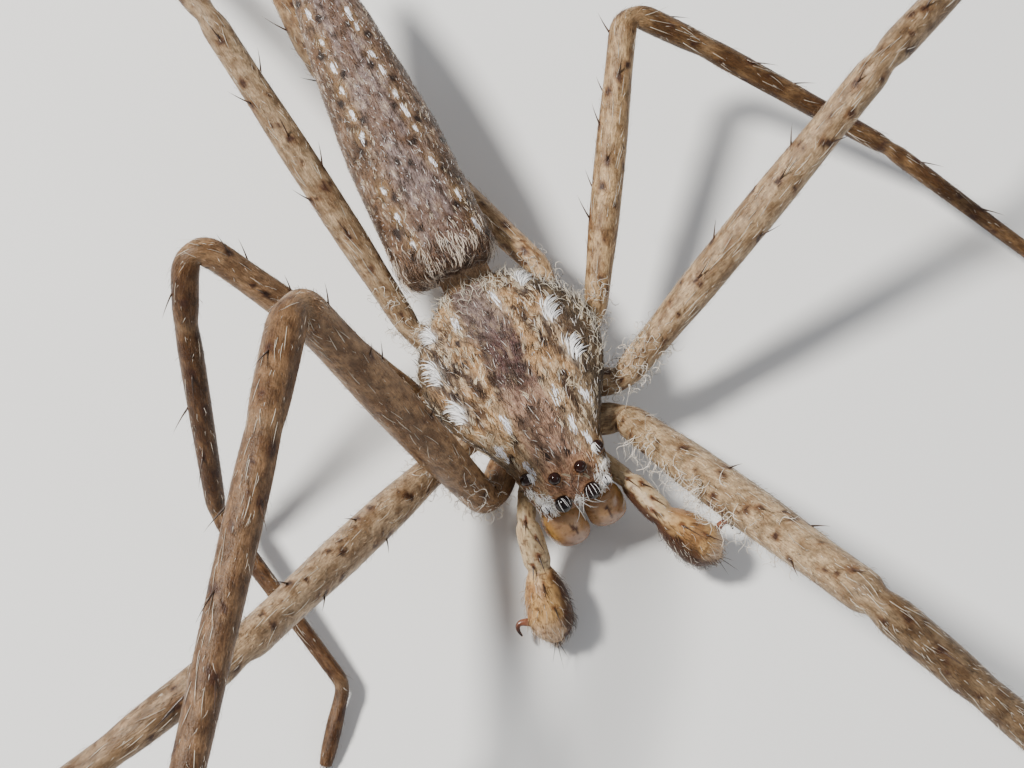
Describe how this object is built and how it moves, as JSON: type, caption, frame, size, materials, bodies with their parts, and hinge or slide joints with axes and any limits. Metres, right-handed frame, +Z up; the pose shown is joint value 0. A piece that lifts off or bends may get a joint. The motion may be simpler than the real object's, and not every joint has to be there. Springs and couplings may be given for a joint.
{
  "type": "huntsman spider",
  "caption": "Slender huntsman spider, still life-size model standing on its feet with legs spread, one front leg raised over the next, long narrow abdomen and spined legs",
  "frame": {"origin": "centre of the bottom of the whole animal's box, on the floor that its feet stand on", "axes": "+X is the spider's left, -Y is the way its head points, +Z is up"},
  "size_m": [0.0562, 0.0516, 0.011],
  "materials": {
    "carapace": "mottled brown cuticle with short flat hair",
    "abdomen": "grey-brown skin under short flat hair",
    "leg": "beige cuticle with brown spots and short hair",
    "palp": "pale tan cuticle with short hair",
    "chelicera": "amber, glossy",
    "fang": "dark brown, glossy",
    "eye": "dark, glassy"
  },
  "bodies": {
    "root": {"cephalothorax": "carapace", "pedicel": "carapace", "abdomen": "abdomen", "spinnerets": "abdomen", "chelicera_left": "chelicera", "chelicera_right": "chelicera", "coxa_left_1": "leg", "coxa_left_2": "leg", "coxa_left_3": "leg", "coxa_left_4": "leg", "coxa_right_1": "leg", "coxa_right_2": "leg", "coxa_right_3": "leg", "coxa_right_4": "leg", "eye_front_middle_left": "eye", "eye_front_middle_right": "eye", "eye_front_side_left": "eye", "eye_front_side_right": "eye", "eye_rear_middle_left": "eye", "eye_rear_middle_right": "eye", "eye_rear_side_left": "eye", "eye_rear_side_right": "eye", "fang_left": "fang", "fang_right": "fang", "leg_left_1_femur": "leg", "leg_left_1_foot": "leg", "leg_left_1_tibia": "leg", "leg_left_2_femur": "leg", "leg_left_2_foot": "leg", "leg_left_2_tibia": "leg", "leg_left_3_femur": "leg", "leg_left_3_foot": "leg", "leg_left_3_tibia": "leg", "leg_left_4_femur": "leg", "leg_left_4_foot": "leg", "leg_left_4_tibia": "leg", "leg_right_1_femur": "leg", "leg_right_1_foot": "leg", "leg_right_1_tibia": "leg", "leg_right_2_femur": "leg", "leg_right_2_foot": "leg", "leg_right_2_tibia": "leg", "leg_right_3_femur": "leg", "leg_right_3_foot": "leg", "leg_right_3_tibia": "leg", "leg_right_4_femur": "leg", "leg_right_4_foot": "leg", "leg_right_4_tibia": "leg", "maxilla_left": "palp", "maxilla_right": "palp", "palp_left_bulb": "palp", "palp_left_femur": "palp", "palp_left_tibia": "palp", "palp_right_bulb": "palp", "palp_right_femur": "palp", "palp_right_tibia": "palp"}
  },
  "joints": []
}
